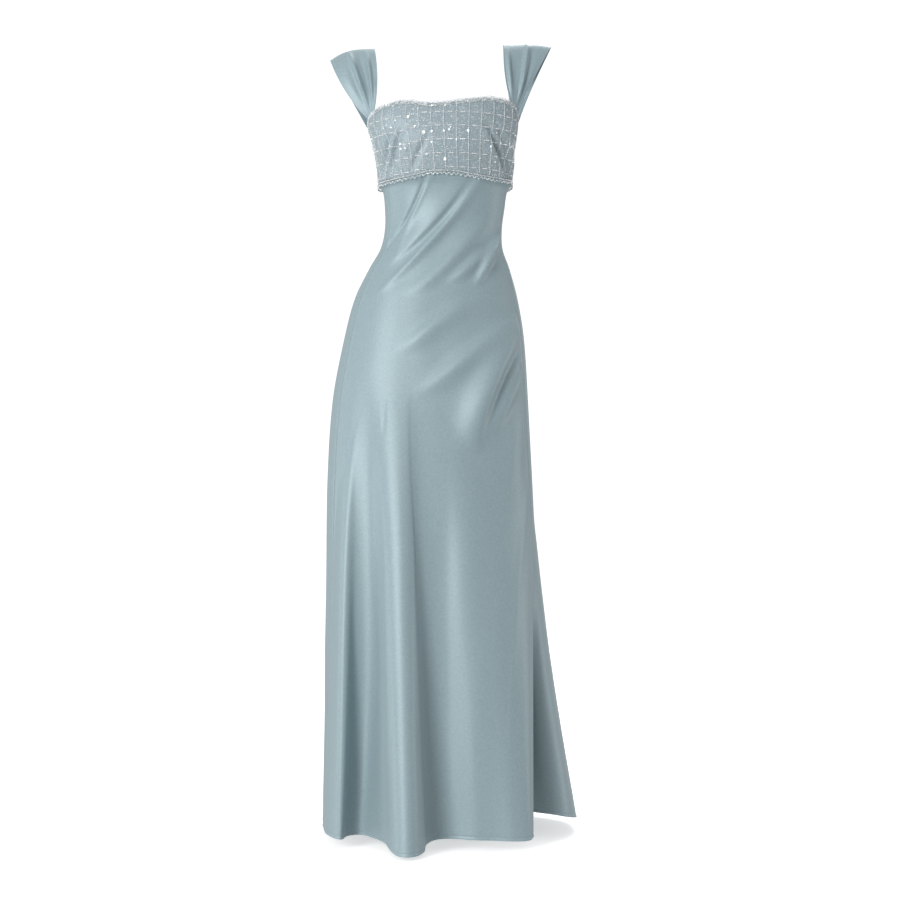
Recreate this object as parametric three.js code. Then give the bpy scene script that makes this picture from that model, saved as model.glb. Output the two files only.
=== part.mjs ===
// A long satin gown as it is worn, and hollow: a beaded band round the bust, a gathered cap strap over each
// shoulder, and a bias-cut skirt of a front and a back panel, open in a slit on the wearer's left.
// Millimetres. X runs to the viewer's right, the front faces -Y and Z is up.
// The origin lies midway between the two shoulders, where they carry the straps.

import * as THREE from "three";

// Thickness of each cloth, and the gap that sewn pieces keep
const SATIN_WALL = 1.6;
const BAND_WALL = 2;
const EDGING_WALL = 1.6;
const SEAM_GAP = 0.3;

// Edges of the bust band, at angles in degrees from the viewer's right round by the back: it peaks over each
// breast, dips between them, and is low under each arm
const BAND_EDGES = [
  { angle: 0, top: -188, foot: -257 },
  { angle: 12, top: -172, foot: -258 },
  { angle: 24, top: -146, foot: -258 },
  { angle: 36, top: -134, foot: -257 },
  { angle: 90, top: -134, foot: -254 },
  { angle: 144, top: -134, foot: -257 },
  { angle: 156, top: -146, foot: -259 },
  { angle: 168, top: -172, foot: -260 },
  { angle: 180, top: -188, foot: -260 },
  { angle: 192, top: -172, foot: -261 },
  { angle: 204, top: -143, foot: -261 },
  { angle: 214, top: -135, foot: -261 },
  { angle: 226, top: -128, foot: -260 },
  { angle: 236, top: -123.5, foot: -258 },
  { angle: 246, top: -123, foot: -255 },
  { angle: 258, top: -127, foot: -249.5 },
  { angle: 268, top: -127, foot: -249 },
  { angle: 280, top: -123, foot: -250 },
  { angle: 292, top: -118.5, foot: -254 },
  { angle: 304, top: -115, foot: -257 },
  { angle: 318, top: -116.5, foot: -258.5 },
  { angle: 330, top: -121, foot: -258 },
  { angle: 340, top: -130, foot: -257 },
  { angle: 350, top: -167, foot: -257 },
  { angle: 360, top: -188, foot: -257 },
];

// The two bead edgings of the band
const EDGING_HEIGHT = 7;
const EDGING_BELOW_TOP = 1;
const SCALLOP_OVERLAP = 3;
const SCALLOP_HEIGHT = 10;

// Half of the seam gap at the waist, as an angle in degrees on the band and as a share of a skirt panel
const SEAM_ANGLE = 0.09;
const SEAM_SHARE = 0.0016;

// How fast a fold grows towards the hem
const FLARE_CURVE = 1.12;

// Sections of the worn tube, from the bust down: the reach to each side of the origin, and how square the
// rounded section is, where 2 is an ellipse
const LEVELS = [
  { z: -100, left: -131, right: 133, front: -92, back: 82, square: 2.75 },
  { z: -126, left: -136, right: 137, front: -104, back: 88, square: 2.75 },
  { z: -155, left: -139, right: 137, front: -113, back: 92, square: 2.7 },
  { z: -192, left: -129, right: 131, front: -117, back: 93, square: 2.6 },
  { z: -230, left: -122, right: 128, front: -110, back: 89, square: 2.5 },
  { z: -259, left: -119, right: 126, front: -101, back: 86, square: 2.45 },
  { z: -271, left: -111, right: 119, front: -96, back: 84, square: 2.4 },
  { z: -303, left: -107, right: 114, front: -91, back: 80, square: 2.35 },
  { z: -340, left: -107, right: 109, front: -87, back: 77, square: 2.3 },
  { z: -377, left: -115, right: 110, front: -89, back: 80, square: 2.3 },
  { z: -414, left: -136, right: 123, front: -94, back: 92, square: 2.3 },
  { z: -470, left: -163, right: 138, front: -103, back: 108, square: 2.3 },
  { z: -544, left: -183, right: 150, front: -112, back: 118, square: 2.3 },
  { z: -655, left: -203, right: 157, front: -122, back: 124, square: 2.3 },
  { z: -803, left: -213, right: 165, front: -131, back: 130, square: 2.35 },
  { z: -951, left: -214, right: 170, front: -138, back: 136, square: 2.4 },
  { z: -1436, left: -216, right: 172, front: -146, back: 146, square: 2.4 },
];

// Lines of the cloth from the tube to the hem, in order across each panel: the angle on the tube, the place
// on the hem, and the height at which the line leaves the tube.
// The front goes from the side seam to the slit.
const FRONT_LINES = [
  { angle: 209, x: -218, y: -54, z: -1431, from: -868 },
  { angle: 217, x: -206, y: -120, z: -1434, from: -800 },
  { angle: 222, x: -180, y: -156, z: -1436, from: -760 },
  { angle: 228, x: -150, y: -126, z: -1436, from: -680 },
  { angle: 235, x: -124, y: -138, z: -1437, from: -640 },
  { angle: 240, x: -99, y: -174, z: -1439, from: -640 },
  { angle: 244, x: -86, y: -209, z: -1445, from: -640 },
  { angle: 248, x: -70, y: -228, z: -1450, from: -640 },
  { angle: 252, x: -50, y: -229, z: -1450, from: -640 },
  { angle: 257, x: -33, y: -208, z: -1447, from: -640 },
  { angle: 260, x: -28, y: -177, z: -1440, from: -640 },
  { angle: 266, x: -8, y: -154, z: -1436, from: -640 },
  { angle: 282, x: 68, y: -158, z: -1436, from: -700 },
  { angle: 305, x: 126, y: -166, z: -1437, from: -820 },
  { angle: 326, x: 153, y: -158, z: -1437, from: -868 },
  { angle: 339, x: 161, y: -132, z: -1435, from: -868 },
];

// The back goes from the slit, where its edge is tucked in, round to the side seam
const BACK_LINES = [
  { angle: -21, x: 148, y: -30, z: -1436, from: -868 },
  { angle: -15, x: 172, y: -48, z: -1436, from: -868 },
  { angle: -8, x: 199, y: -56, z: -1436, from: -868 },
  { angle: -1, x: 224, y: -46, z: -1436, from: -868 },
  { angle: 8, x: 243, y: -12, z: -1436, from: -868 },
  { angle: 19, x: 249, y: 44, z: -1436, from: -868 },
  { angle: 33, x: 234, y: 116, z: -1436, from: -868 },
  { angle: 48, x: 184, y: 164, z: -1436, from: -760 },
  { angle: 64, x: 122, y: 192, z: -1438, from: -700 },
  { angle: 80, x: 54, y: 170, z: -1436, from: -700 },
  { angle: 96, x: -12, y: 191, z: -1438, from: -700 },
  { angle: 112, x: -78, y: 166, z: -1436, from: -700 },
  { angle: 130, x: -140, y: 181, z: -1437, from: -760 },
  { angle: 152, x: -194, y: 138, z: -1435, from: -868 },
  { angle: 180, x: -222, y: 48, z: -1432, from: -868 },
  { angle: 209, x: -218, y: -54, z: -1431, from: -868 },
];

// Drag folds of the bias cut: each runs from one place to another, bowed sideways, with a width on each side
// of its line and a height, which is below zero for a trough
const FRONT_FOLDS = [
  { x0: -18, z0: -262, x1: -108, z1: -394, bow: 5, left: 13, right: 11, height: -3.5 },
  { x0: 20, z0: -330, x1: -88, z1: -412, bow: -4, left: 12, right: 12, height: -5 },
  { x0: 64, z0: -262, x1: -64, z1: -384, bow: 6, left: 13, right: 15, height: 5 },
  { x0: 104, z0: -290, x1: 22, z1: -436, bow: -5, left: 13, right: 16, height: 4 },
  { x0: 34, z0: -470, x1: -62, z1: -552, bow: -3, left: 13, right: 17, height: 4 },
  { x0: 116, z0: -494, x1: -14, z1: -622, bow: -6, left: 14, right: 18, height: 5.5 },
  { x0: 118, z0: -534, x1: 56, z1: -752, bow: -9, left: 16, right: 19, height: 5.5 },
  { x0: 0, z0: -740, x1: 60, z1: -1460, bow: 8, left: 22, right: 32, height: 10 },
  { x0: -152, z0: -760, x1: -150, z1: -1440, bow: 2, left: 15, right: 18, height: -9 },
  { x0: -82, z0: -690, x1: -60, z1: -1180, bow: 4, left: 26, right: 13, height: 7 },
];

const BACK_FOLDS = [
  { x0: 84, z0: -270, x1: -30, z1: -372, bow: 5, left: 14, right: 14, height: 4 },
  { x0: 60, z0: -318, x1: -72, z1: -398, bow: 4, left: 13, right: 13, height: -4.5 },
  { x0: -84, z0: -296, x1: 10, z1: -412, bow: -5, left: 14, right: 15, height: 4 },
  { x0: 104, z0: -430, x1: 20, z1: -560, bow: -6, left: 15, right: 17, height: 5 },
  { x0: -128, z0: -470, x1: -60, z1: -640, bow: 6, left: 16, right: 18, height: 5 },
  { x0: 196, z0: -960, x1: 226, z1: -1330, bow: -3, left: 34, right: 34, height: -6 },
];

// Straps: the crest over the shoulder as places from the neck side out, then for each end the angles on the
// band between which it is gathered, and for its inner and outer edge how fast the edge swings to the crest
// and how far it bows sideways
const STRAPS = [
  {
    name: "strap_left",
    crest: [
      { x: -126, z: -8 },
      { x: -147, z: -8.5 },
      { x: -167, z: -10.5 },
      { x: -187, z: -16.5 },
      { x: -208, z: -29 },
    ],
    front: { inner: 214, outer: 202, innerSwing: 2, outerSwing: 0.85, innerBow: 5.4, outerBow: -6 },
    back: { inner: 152, outer: 161, innerSwing: 2, outerSwing: 1, innerBow: 2, outerBow: 0 },
    gathers: [
      { seam: 0.14, crest: 0.1, spread: 0.06, height: 2, reach: 0.5 },
      { seam: 0.36, crest: 0.26, spread: 0.05, height: -4.5, reach: 0.8 },
      { seam: 0.5, crest: 0.42, spread: 0.055, height: 2.6, reach: 0.6 },
      { seam: 0.64, crest: 0.6, spread: 0.055, height: -6.5, reach: 0.9 },
      { seam: 0.8, crest: 0.78, spread: 0.07, height: 2.8, reach: 0.6 },
    ],
  },
  {
    name: "strap_right",
    crest: [
      { x: 111, z: 1 },
      { x: 132, z: 1 },
      { x: 155, z: 1.5 },
      { x: 178, z: 0.5 },
      { x: 200, z: -3 },
    ],
    front: { inner: 329, outer: 340, innerSwing: 0.6, outerSwing: 1, innerBow: -4, outerBow: 0.5 },
    back: { inner: 27, outer: 18, innerSwing: 1, outerSwing: 1.15, innerBow: 0, outerBow: -1.5 },
    gathers: [
      { seam: 0.27, crest: 0.13, spread: 0.05, height: -4.5, reach: 0.7 },
      { seam: 0.48, crest: 0.32, spread: 0.07, height: 2.6, reach: 0.66 },
      { seam: 0.72, crest: 0.5, spread: 0.055, height: -6.5, reach: 0.96 },
      { seam: 0.88, crest: 0.7, spread: 0.07, height: 2.6, reach: 0.7 },
    ],
  },
];

// Below 1, a strap keeps its distance from the shoulder for longer before it turns over the crest
const STRAP_ARCH = 0.84;

// What is left of a gather where it is pressed flat into the band's seam
const GATHER_AT_SEAM = 0.15;

// Step, as a share of a surface, over which its slope is measured
const NORMAL_STEP = 0.002;

// Share of a skirt panel's height over which the folds drag across the waist
const DRAPE_SHARE = 0.262;

// Mesh divisions
const BAND_ACROSS = 34;
const BAND_DOWN = 6;
const SKIRT_FRONT_ACROSS = 42;
const SKIRT_BACK_ACROSS = 34;
const DRAPE_ROWS = 17;
const HEM_ROWS = 15;
const STRAP_ACROSS = 14;
const STRAP_ALONG = 18;

const satin = new THREE.MeshStandardMaterial({ color: 0x9eb1b8, roughness: 0.42, metalness: 0 });
const beadedNet = new THREE.MeshStandardMaterial({ color: 0xa0adb0, roughness: 0.5, metalness: 0 });
const beadEdging = new THREE.MeshStandardMaterial({ color: 0xd3dbdd, roughness: 0.3, metalness: 0 });

const { lerp, clamp, degToRad, euclideanModulo, smoothstep } = THREE.MathUtils;

// One column of a table, on a smooth curve through its rows, at a value of the key by which they are in order
function columnAt(rows, key, column, value) {
  const order = Math.sign(rows[1][key] - rows[0][key]);
  const after = rows.findIndex((row) => (row[key] - value) * order > 0);
  const next = after < 0 ? rows.length - 1 : Math.max(after, 1);
  const slope = (index) => {
    const a = rows[Math.max(index - 1, 0)];
    const b = rows[Math.min(index + 1, rows.length - 1)];
    return (b[column] - a[column]) / (b[key] - a[key]);
  };
  const start = rows[next - 1];
  const end = rows[next];
  const step = end[key] - start[key];
  const t = clamp((value - start[key]) / step, 0, 1);
  const fromStart = start[column] * (1 + 2 * t) * (1 - t) ** 2 + slope(next - 1) * step * t * (1 - t) ** 2;
  const fromEnd = end[column] * t * t * (3 - 2 * t) + slope(next) * step * t * t * (t - 1);
  return fromStart + fromEnd;
}

// A point of the worn tube, at an angle in degrees from the viewer's right round by the back
function tubePoint(angle, z) {
  const cosine = Math.cos(degToRad(angle));
  const sine = Math.sin(degToRad(angle));
  const columns = ["left", "right", "front", "back", "square"];
  const [left, right, front, back, square] = columns.map((column) => columnAt(LEVELS, "z", column, z));
  const size = (Math.abs(cosine) ** square + Math.abs(sine) ** square) ** (-1 / square);
  const x = (left + right) / 2 + ((right - left) / 2) * size * cosine;
  const y = (front + back) / 2 + ((back - front) / 2) * size * sine;
  return new THREE.Vector3(x, y, z);
}

function bandTop(angle) {
  return columnAt(BAND_EDGES, "angle", "top", euclideanModulo(angle, 360));
}

function bandFoot(angle) {
  return columnAt(BAND_EDGES, "angle", "foot", euclideanModulo(angle, 360));
}

// A surface is a function of the share across and the share down, which gives a point
function bandSurface(startAngle, endAngle) {
  return (across, down) => {
    const angle = lerp(startAngle, endAngle, across);
    return tubePoint(angle, lerp(bandTop(angle), bandFoot(angle), down));
  };
}

function topEdgingSurface(startAngle, endAngle) {
  return (across, down) => {
    const angle = lerp(startAngle, endAngle, across);
    return tubePoint(angle, bandTop(angle) - EDGING_BELOW_TOP - EDGING_HEIGHT * down);
  };
}

// The scallops lie on the band's foot and hang free below it
function scallopSurface(startAngle, endAngle) {
  return (across, down) => {
    const angle = lerp(startAngle, endAngle, across);
    const z = bandFoot(angle) + SCALLOP_OVERLAP - SCALLOP_HEIGHT * down;
    const point = tubePoint(angle, Math.max(z, bandFoot(angle)));
    return point.setZ(z);
  };
}

// A skirt panel hangs from the band's foot: each of its lines follows the tube, and then swings to the hem
function skirtSurface(lines) {
  const hem = new THREE.CatmullRomCurve3(lines.map((line) => new THREE.Vector3(line.x, line.y, line.z)));
  const course = new THREE.CatmullRomCurve3(
    lines.map((line) => new THREE.Vector3(line.angle, line.from, 0)),
    false,
    "catmullrom",
    0.5,
  );
  return (across, down) => {
    const t = hem.getUtoTmapping(lerp(SEAM_SHARE, 1 - SEAM_SHARE, across));
    const foot = hem.getPoint(t);
    const { x: angle, y: from } = course.getPoint(t);
    const z = lerp(bandFoot(angle) - SEAM_GAP, foot.z, down);
    const share = clamp((from - z) / (from - foot.z), 0, 1) ** FLARE_CURVE;
    const point = tubePoint(angle, z);
    return point.set(lerp(point.x, foot.x, share), lerp(point.y, foot.y, share), z);
  };
}

// A strap rises from the band's edge in front, over the shoulder, and down to the edge behind
function strapSurface(strap) {
  const places = strap.crest.map((place) => new THREE.Vector3(place.x, 0, place.z));
  const crest = new THREE.CatmullRomCurve3(places);
  return (along, across) => {
    const end = along < 0.5 ? strap.front : strap.back;
    const angle = lerp(end.inner, end.outer, across);
    const seam = tubePoint(angle, bandTop(angle));
    const top = crest.getPoint(across);
    const rise = Math.sin(Math.PI * along);
    const turn = Math.abs(Math.cos(Math.PI * along));
    const swing = rise ** lerp(end.innerSwing, end.outerSwing, across);
    const bow = lerp(end.innerBow, end.outerBow, across) * 4 * rise * (1 - rise);
    return new THREE.Vector3(
      lerp(seam.x, top.x, swing) + bow,
      seam.y * turn ** STRAP_ARCH,
      lerp(seam.z + SEAM_GAP, top.z, rise),
    );
  };
}

// Height of all folds of a panel at a point: each fold is a soft ridge or trough that fades at its ends
function foldHeight(folds, point) {
  let height = 0;
  for (const fold of folds) {
    const t = (fold.z0 - point.z) / (fold.z0 - fold.z1);
    if (t <= 0 || t >= 1) continue;
    const lineX = lerp(fold.x0, fold.x1, t) + fold.bow * 4 * t * (1 - t);
    const slant = Math.abs(fold.z1 - fold.z0) / Math.hypot(fold.x1 - fold.x0, fold.z1 - fold.z0);
    const away = (point.x - lineX) * slant;
    const spread = away < 0 ? fold.left : fold.right;
    height += fold.height * Math.exp(-((away / spread) ** 2)) * Math.sin(Math.PI * t) ** 0.7;
  }
  return height;
}

// Height of all gathers of a strap: each runs from its place at the seam towards its place at the crest, and
// ends at its reach, as a share of the way
function gatherHeight(gathers, along, across) {
  const fromSeam = Math.min(along, 1 - along) * 2;
  let height = 0;
  for (const gather of gathers) {
    const away = across - lerp(gather.seam, gather.crest, fromSeam);
    const fade = 1 - smoothstep(fromSeam, gather.reach * 0.5, gather.reach);
    height += gather.height * fade * Math.exp(-((away / gather.spread) ** 2));
  }
  return height * lerp(GATHER_AT_SEAM, 1, smoothstep(fromSeam, 0, 0.3));
}

// Fades a relief out towards both side edges of a panel, so that its seams stay closed
function edgeFade(across) {
  return smoothstep(Math.min(across, 1 - across), 0, 0.04);
}

function outwardAt(surface, across, down, side) {
  const left = surface(Math.max(across - NORMAL_STEP, 0), down);
  const right = surface(Math.min(across + NORMAL_STEP, 1), down);
  const above = surface(across, Math.max(down - NORMAL_STEP, 0));
  const below = surface(across, Math.min(down + NORMAL_STEP, 1));
  return below.sub(above).cross(right.sub(left)).normalize().multiplyScalar(side);
}

// A closed wall on a surface: its outer face is the surface, moved out by the relief, and its inner face lies
// one wall further in.
// The side is 1 where across and down turn outwards, and -1 where they turn inwards.
function wallGeometry({ surface, columns, rows, wall, relief = () => 0, side = 1 }) {
  const positions = [];
  for (const depth of [0, wall]) {
    for (const down of rows) {
      for (const across of columns) {
        const height = relief(across, down, surface(across, down)) - depth;
        const normal = outwardAt(surface, across, down, side);
        positions.push(...surface(across, down).addScaledVector(normal, height).toArray());
      }
    }
  }
  const width = columns.length;
  const size = width * rows.length;
  const indices = [];
  const quad = (a, b, c, d) => {
    const order = side > 0 ? [a, b, c, a, c, d] : [a, c, b, a, d, c];
    indices.push(...order);
  };
  for (let row = 0; row < rows.length - 1; row += 1) {
    for (let column = 0; column < width - 1; column += 1) {
      const here = row * width + column;
      quad(here, here + width, here + width + 1, here + 1);
      quad(size + here, size + here + 1, size + here + width + 1, size + here + width);
    }
    const first = row * width;
    const last = first + width - 1;
    quad(first, size + first, size + first + width, first + width);
    quad(last, last + width, size + last + width, size + last);
  }
  for (let column = 0; column < width - 1; column += 1) {
    const foot = size - width + column;
    quad(column, column + 1, size + column + 1, size + column);
    quad(foot, size + foot, size + foot + 1, foot + 1);
  }
  const geometry = new THREE.BufferGeometry();
  geometry.setAttribute("position", new THREE.Float32BufferAttribute(positions, 3));
  geometry.setIndex(indices);
  geometry.computeVertexNormals();
  return geometry;
}

// The same surface, moved outwards
function movedOut(surface, distance) {
  return (across, down) => {
    const outward = outwardAt(surface, across, down, 1);
    return surface(across, down).addScaledVector(outward, distance);
  };
}

function evenSteps(count) {
  return Array.from({ length: count + 1 }, (_, index) => index / count);
}

// Rows of a skirt panel: close together where the folds drag across the waist, and wider apart below
function skirtRows() {
  const upper = evenSteps(DRAPE_ROWS).map((share) => share * DRAPE_SHARE);
  const lower = evenSteps(HEM_ROWS).map((share) => lerp(DRAPE_SHARE, 1, share));
  return [...upper, ...lower.slice(1)];
}

const gown = new THREE.Group();

function add(name, geometry, material) {
  const mesh = new THREE.Mesh(geometry, material.clone());
  mesh.name = name;
  gown.add(mesh);
}

function addHalf(half, startAngle, endAngle) {
  const start = startAngle + SEAM_ANGLE;
  const end = endAngle - SEAM_ANGLE;
  const edging = movedOut(topEdgingSurface(start, end), SEAM_GAP + EDGING_WALL);
  const scallops = movedOut(scallopSurface(start, end), SEAM_GAP + EDGING_WALL);
  add(
    `band_${half}`,
    wallGeometry({
      surface: bandSurface(start, end),
      columns: evenSteps(BAND_ACROSS),
      rows: evenSteps(BAND_DOWN),
      wall: BAND_WALL,
    }),
    beadedNet,
  );
  add(
    `trim_top_${half}`,
    wallGeometry({ surface: edging, columns: evenSteps(BAND_ACROSS), rows: [0, 1], wall: EDGING_WALL }),
    beadEdging,
  );
  add(
    `trim_under_${half}`,
    wallGeometry({ surface: scallops, columns: evenSteps(BAND_ACROSS), rows: [0, 1], wall: EDGING_WALL }),
    beadEdging,
  );
}

function addSkirtPanel(half, lines, folds, across) {
  add(
    `skirt_${half}`,
    wallGeometry({
      surface: skirtSurface(lines),
      columns: evenSteps(across),
      rows: skirtRows(),
      wall: SATIN_WALL,
      relief: (share, down, point) => foldHeight(folds, point) * edgeFade(share),
    }),
    satin,
  );
}

function addStrap(strap) {
  add(
    strap.name,
    wallGeometry({
      surface: strapSurface(strap),
      columns: evenSteps(STRAP_ALONG),
      rows: evenSteps(STRAP_ACROSS),
      wall: SATIN_WALL,
      relief: (along, across) => gatherHeight(strap.gathers, along, across),
      side: strap.crest[0].x < 0 ? 1 : -1,
    }),
    satin,
  );
}

addHalf("front", 180, 360);
addHalf("back", 0, 180);
addSkirtPanel("front", FRONT_LINES, FRONT_FOLDS, SKIRT_FRONT_ACROSS);
addSkirtPanel("back", BACK_LINES, BACK_FOLDS, SKIRT_BACK_ACROSS);
STRAPS.forEach(addStrap);

export default gown;
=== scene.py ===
"""A long satin gown as it is worn, dressed over its solids: satin skirt and straps, and a beaded bust band.

Lengths in the tables are millimetres in the part's own frame. Blender's meshes are in metres.
"""

import math

import bpy
import numpy as np
from mathutils import Matrix, Vector, noise


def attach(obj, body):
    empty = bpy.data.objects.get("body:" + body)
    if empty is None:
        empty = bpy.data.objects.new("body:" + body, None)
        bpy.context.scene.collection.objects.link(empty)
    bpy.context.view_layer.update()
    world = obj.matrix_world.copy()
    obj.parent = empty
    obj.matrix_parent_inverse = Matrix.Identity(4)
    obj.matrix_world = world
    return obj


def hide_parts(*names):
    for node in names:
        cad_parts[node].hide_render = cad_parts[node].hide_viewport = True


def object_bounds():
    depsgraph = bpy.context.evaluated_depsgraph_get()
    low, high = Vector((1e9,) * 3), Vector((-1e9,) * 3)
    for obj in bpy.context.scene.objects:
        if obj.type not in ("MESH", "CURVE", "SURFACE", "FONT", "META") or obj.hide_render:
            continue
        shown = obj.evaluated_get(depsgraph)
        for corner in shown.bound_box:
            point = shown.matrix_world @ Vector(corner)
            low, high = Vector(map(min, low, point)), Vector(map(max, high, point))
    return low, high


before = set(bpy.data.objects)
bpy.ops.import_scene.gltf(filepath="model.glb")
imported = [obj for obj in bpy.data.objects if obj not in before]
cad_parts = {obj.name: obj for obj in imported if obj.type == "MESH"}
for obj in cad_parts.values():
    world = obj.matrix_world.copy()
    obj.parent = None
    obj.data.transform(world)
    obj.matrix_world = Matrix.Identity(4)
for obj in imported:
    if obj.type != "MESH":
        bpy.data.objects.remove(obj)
cad_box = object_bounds()

bl_info = {
    "name": "Satin Gown",
    "version": (1, 0, 0),
    "blender": (4, 5, 0),
    "location": "View3D > Sidebar > Gown",
    "description": "Builds a satin gown with a beaded bust band around its packed solids",
    "category": "Object",
}

MM = 0.001
BODY = "root"


def table(columns, *rows):
    """Rows of a table as dictionaries with the named columns."""
    names = columns.split()
    return [dict(zip(names, row)) for row in rows]


# The worn form, as in the solids

SEAM_GAP = 0.3
SEAM_ANGLE = 0.09
SEAM_SHARE = 0.0005
FLARE_CURVE = 1.12
STRAP_ARCH = 0.84
GATHER_AT_SEAM = 0.15
GATHER_RISE = 0.3
FADE_AT_EDGE = 0.04
LENGTH_STEPS = 200
HALF_STEPS = 720
EDGE_STEPS = 1440

# Relief of the sewing: a soft ridge beside each seam, the hem's stitch line, and the turned hem below it

RIDGE_HEIGHT = 1.1
RIDGE_PLACE = 4.5
RIDGE_SPREAD = 3
STITCH_DEPTH = 0.8
STITCH_SPREAD = 0.9
HEM_TURN = 0.5

# Ripple of the hanging cloth, longer down the gown than across it

RIPPLE_SIZE = 46
RIPPLE_STRETCH = 3.2
RIPPLE_HEIGHT = 0.9

# Grids of the cloth, as columns and rows, and the angle up to which its faces are shaded as one surface

STRAP_GRID = (64, 120)
BAND_GRID = (150, 44)
SMOOTH_ANGLE = 55

# Bead lines on the band: where their spacing is measured, how far from the middle the first one stands, and
# the space they leave under the top and over the foot

LINE_HEIGHT = -190
LINE_SHIFT = 2.3
LINE_UNDER_TOP = 9
LINE_OVER_FOOT = 3
LINE_WIDTH = 1.8
LINE_GAP = 0.9
GRID_LIFT = 1.1

# Dashes across the lines: three long beads in the middle of each cell, on a row of fine ones

ROW_UNDER_TOP = 11
ROW_OVER_FOOT = 6
DASH_SHARES = (0.36, 0.5, 0.64)
DASH_WIDTH = 2.7
DASH_STRETCH = 1.05
FINE_ENDS = (0.06, 0.94)
FINE_COUNT = 11
FINE_BEAD = (1.2, 1.1, 1.1)

# Seed beads and sequins on each half of the band, with their least and greatest size

SEED_COUNT = 3200
SEED_UNDER_TOP = 6
SEED_OVER_FOOT = 2
SEED_SIZES = (0.6, 1.25)
SEED_FLATNESS = 0.8
SEED_LIFT = 0.3
SEQUIN_COUNT = 34
SEQUIN_FROM_SIDE = 8
SEQUIN_UNDER_TOP = 12
SEQUIN_OVER_FOOT = 8
SEQUIN_SIZES = (0.6, 1)
SEQUIN_LIFT = 1.3
SEQUIN_TILT = 0.3
SEQUIN_DIP = 0.12

# Edging of the band's foot: a line of dark grey beads painted as the shadow over the edging, a row of beads,
# and scallops of five beads that hang from it

FOOT_HEIGHT = -257
SHADOW_LINE_STEP = 2.0
SHADOW_LINE_BEAD = (2.6, 1, 1)
SHADOW_LINE_RISE = 3.0
SHADOW_LINE_LIFT = 0.7
CORD_STEP = 1.03
CORD_RISE = 0.6
CORD_LIFT = 1.7
SCALLOP_SHARES = (0.14, 0.86)
SCALLOP_COUNT = 5
SCALLOP_DEPTHS = (3.0, 5.2)
SCALLOP_START = 1.4
SCALLOP_BEAD = 2.3
SCALLOP_LIFT = 1.9

# Studio: the paper's flat middle and the bend round it in metres, its rings, and the camera's frame

PAPER_START = 0.5
PAPER_FLAT = 5.0
PAPER_BEND = 3.0
PAPER_SLOPE = 4
PAPER_RINGS = 40
PAPER_STEP = 1.12
PAPER_SPOKES = 96
AIR_COLOUR = "#fbfcfd"
AIR_STRENGTH = 0.5
LIGHTS_AIM = (0.0, 0.0, -0.75)
CAMERA_X = 13
SENSOR_WIDTH = 36
FRAME_SHIFT = 30 / 900
VIEW_END = 100

# Edges of the bust band, at angles in degrees from the viewer's right round by the back
BAND_EDGES = table(
    "angle top foot",
    (0, -188, -257),
    (12, -172, -258),
    (24, -146, -258),
    (36, -134, -257),
    (90, -134, -254),
    (144, -134, -257),
    (156, -146, -259),
    (168, -172, -260),
    (180, -188, -260),
    (192, -172, -261),
    (204, -143, -261),
    (214, -135, -261),
    (226, -128, -260),
    (236, -123.5, -258),
    (246, -123, -255),
    (258, -127, -249.5),
    (268, -127, -249),
    (280, -123, -250),
    (292, -118.5, -254),
    (304, -115, -257),
    (318, -116.5, -258.5),
    (330, -121, -258),
    (340, -130, -257),
    (350, -167, -257),
    (360, -188, -257),
)

# Sections of the worn tube: the reach to each side, and how square the rounded section is
LEVELS = table(
    "z left right front back square",
    (-100, -131, 133, -92, 82, 2.75),
    (-126, -136, 137, -104, 88, 2.75),
    (-155, -139, 137, -113, 92, 2.7),
    (-192, -129, 131, -117, 93, 2.6),
    (-230, -122, 128, -110, 89, 2.5),
    (-259, -119, 126, -101, 86, 2.45),
    (-271, -111, 119, -96, 84, 2.4),
    (-303, -107, 114, -91, 80, 2.35),
    (-340, -107, 109, -87, 77, 2.3),
    (-377, -115, 110, -89, 80, 2.3),
    (-414, -136, 123, -94, 92, 2.3),
    (-470, -163, 138, -103, 108, 2.3),
    (-544, -183, 150, -112, 118, 2.3),
    (-655, -203, 157, -122, 124, 2.3),
    (-803, -213, 165, -131, 130, 2.35),
    (-951, -214, 170, -138, 136, 2.4),
    (-1436, -216, 172, -146, 146, 2.4),
)

# Lines of the cloth from the tube to the hem: the angle on the tube, the place on the hem, and the height at
# which the line leaves the tube
FRONT_LINES = table(
    "angle x y z leaves",
    (209, -218, -54, -1431, -868),
    (217, -206, -120, -1434, -800),
    (222, -180, -156, -1436, -760),
    (228, -150, -126, -1436, -680),
    (235, -124, -138, -1437, -640),
    (240, -99, -174, -1439, -640),
    (244, -86, -209, -1445, -640),
    (248, -70, -228, -1450, -640),
    (252, -50, -229, -1450, -640),
    (257, -33, -208, -1447, -640),
    (260, -28, -177, -1440, -640),
    (266, -8, -154, -1436, -640),
    (282, 68, -158, -1436, -700),
    (305, 126, -166, -1437, -820),
    (326, 153, -158, -1437, -868),
    (339, 161, -132, -1435, -868),
)
BACK_LINES = table(
    "angle x y z leaves",
    (-21, 148, -30, -1409, -868),
    (-15, 172, -48, -1409, -868),
    (-8, 199, -56, -1411, -868),
    (-1, 224, -46, -1417, -868),
    (8, 243, -12, -1425, -868),
    (19, 249, 44, -1432, -868),
    (33, 234, 116, -1436, -868),
    (48, 184, 164, -1436, -760),
    (64, 122, 192, -1438, -700),
    (80, 54, 170, -1436, -700),
    (96, -12, 191, -1438, -700),
    (112, -78, 166, -1436, -700),
    (130, -140, 181, -1437, -760),
    (152, -194, 138, -1435, -868),
    (180, -222, 48, -1432, -868),
    (209, -218, -54, -1431, -868),
)

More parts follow.
